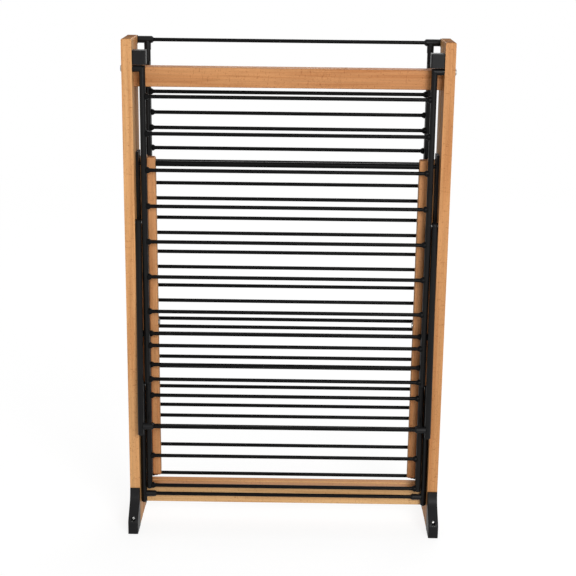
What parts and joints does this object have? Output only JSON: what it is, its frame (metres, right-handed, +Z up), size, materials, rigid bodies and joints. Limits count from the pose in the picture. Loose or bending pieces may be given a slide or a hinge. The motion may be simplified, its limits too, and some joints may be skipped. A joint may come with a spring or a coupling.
{
  "type": "folding clothes drying rack",
  "caption": "Free-standing folding drying rack: beech post frames on scissor arms, black rod wings, lower shelves and a flip-over middle panel.",
  "frame": {"origin": "centre of the folded rack on the floor", "axes": "+X across the width, front (the rest blocks) faces -Y, +Z up"},
  "size_m": [0.645, 0.185, 1.014],
  "materials": {
    "beech": "clear lacquered, warm honey-orange, straight fine grain",
    "zinc_steel": "zinc plated",
    "black_steel": "satin black powder coat",
    "black_plastic": "matt moulded"
  },
  "bodies": {
    "front_frame": {"front_post_left": "beech", "front_post_right": "beech", "front_top_rail": "beech", "front_low_rail": "beech", "front_foot_left": "black_plastic", "front_foot_right": "black_plastic", "front_guides": "black_plastic", "front_bolts": "zinc_steel", "front_rest_blocks": "black_plastic"},
    "front_wing": {"front_wing_tubes": "black_steel", "front_wing_rods": "black_steel", "front_wing_caps": "black_plastic", "front_wing_pins": "zinc_steel"},
    "front_strut": {"front_strut_tubes": "black_steel", "front_strut_rod": "black_steel", "front_strut_sleeves": "black_plastic", "front_strut_caps": "black_plastic"},
    "front_shelf": {"front_shelf_tubes": "black_steel", "front_shelf_rods": "black_steel", "front_shelf_caps": "black_plastic", "front_shelf_pins": "zinc_steel"},
    "front_shelf_strut": {"front_shelf_strut_tubes": "black_steel", "front_shelf_strut_rod": "black_steel", "front_shelf_strut_sleeves": "black_plastic", "front_shelf_strut_caps": "black_plastic"},
    "rear_frame": {"rear_post_left": "beech", "rear_post_right": "beech", "rear_top_rail": "beech", "rear_low_rail": "beech", "rear_foot_left": "black_plastic", "rear_foot_right": "black_plastic", "rear_guides": "black_plastic", "rear_bolts": "zinc_steel", "rear_panel_brackets": "black_plastic"},
    "rear_wing": {"rear_wing_tubes": "black_steel", "rear_wing_rods": "black_steel", "rear_wing_caps": "black_plastic", "rear_wing_pins": "zinc_steel"},
    "rear_strut": {"rear_strut_tubes": "black_steel", "rear_strut_rod": "black_steel", "rear_strut_sleeves": "black_plastic", "rear_strut_caps": "black_plastic"},
    "rear_shelf": {"rear_shelf_tubes": "black_steel", "rear_shelf_rods": "black_steel", "rear_shelf_caps": "black_plastic", "rear_shelf_pins": "zinc_steel"},
    "rear_shelf_strut": {"rear_shelf_strut_tubes": "black_steel", "rear_shelf_strut_rod": "black_steel", "rear_shelf_strut_sleeves": "black_plastic", "rear_shelf_strut_caps": "black_plastic"},
    "panel": {"panel_tubes": "black_steel", "panel_caps": "black_plastic", "panel_tees": "black_plastic", "panel_rods": "black_steel", "panel_hinge_rod": "black_steel"},
    "outer_arms": {"outer_arms": "beech", "outer_axle": "black_steel", "mid_bolts": "zinc_steel"},
    "inner_arms": {"inner_arms": "beech", "inner_axle": "black_steel"}
  },
  "joints": [
    {"name": "fold", "type": "hinge", "parent": "front_frame", "child": "outer_arms", "pos_m": [0, -0.009, 0.1], "axis": [-1, 0, 0], "range_deg": [0, 46.73]},
    {"name": "cross", "type": "hinge", "parent": "outer_arms", "child": "inner_arms", "pos_m": [0, 0, 0.43295], "axis": [-1, 0, 0], "range_deg": [-93.96, 0]},
    {"name": "rear_level", "type": "hinge", "parent": "inner_arms", "child": "rear_frame", "pos_m": [0, 0.009, 0.1], "axis": [-1, 0, 0], "range_deg": [0, 47.23]},
    {"name": "front_wing_swing", "type": "hinge", "parent": "front_frame", "child": "front_wing", "pos_m": [0, -0.0415, 0.9568], "axis": [-1, 0, 0], "range_deg": [0, 93]},
    {"name": "front_strut_swing", "type": "hinge", "parent": "front_wing", "child": "front_strut", "pos_m": [0, -0.0415, 0.6528], "axis": [-1, 0, 0], "range_deg": [-139.59, 0]},
    {"name": "front_shelf_swing", "type": "hinge", "parent": "front_frame", "child": "front_shelf", "pos_m": [0, -0.0257, 0.4162], "axis": [-1, 0, 0], "range_deg": [0, 73.5]},
    {"name": "front_shelf_strut_swing", "type": "hinge", "parent": "front_shelf", "child": "front_shelf_strut", "pos_m": [0, -0.028, 0.30622], "axis": [-1, 0, 0], "range_deg": [-95.08, 0]},
    {"name": "rear_wing_swing", "type": "hinge", "parent": "rear_frame", "child": "rear_wing", "pos_m": [0, 0.0415, 0.9568], "axis": [1, 0, 0], "range_deg": [0, 93]},
    {"name": "rear_strut_swing", "type": "hinge", "parent": "rear_wing", "child": "rear_strut", "pos_m": [0, 0.0415, 0.6528], "axis": [1, 0, 0], "range_deg": [-139.59, 0]},
    {"name": "rear_shelf_swing", "type": "hinge", "parent": "rear_frame", "child": "rear_shelf", "pos_m": [0, 0.0257, 0.4162], "axis": [1, 0, 0], "range_deg": [0, 73.5]},
    {"name": "rear_shelf_strut_swing", "type": "hinge", "parent": "rear_shelf", "child": "rear_shelf_strut", "pos_m": [0, 0.028, 0.30622], "axis": [1, 0, 0], "range_deg": [-95.08, 0]},
    {"name": "panel_swing", "type": "hinge", "parent": "rear_frame", "child": "panel", "pos_m": [0, 0.055, 1.0043], "axis": [1, 0, 0], "range_deg": [0, 270.8]}
  ],
  "couplings": [
    {"joint": "cross", "follows": "fold", "ratio": -2},
    {"joint": "rear_level", "follows": "fold", "ratio": 1},
    {"joint": "front_strut_swing", "follows": "front_wing_swing", "ratio": -1.4956},
    {"joint": "front_shelf_swing", "follows": "front_wing_swing", "ratio": 0.7871},
    {"joint": "front_shelf_strut_swing", "follows": "front_wing_swing", "ratio": -1.017},
    {"joint": "rear_strut_swing", "follows": "rear_wing_swing", "ratio": -1.4956},
    {"joint": "rear_shelf_swing", "follows": "rear_wing_swing", "ratio": 0.7871},
    {"joint": "rear_shelf_strut_swing", "follows": "rear_wing_swing", "ratio": -1.017},
    {"joint": "panel_swing", "follows": "rear_wing_swing", "ratio": 2.9075}
  ]
}
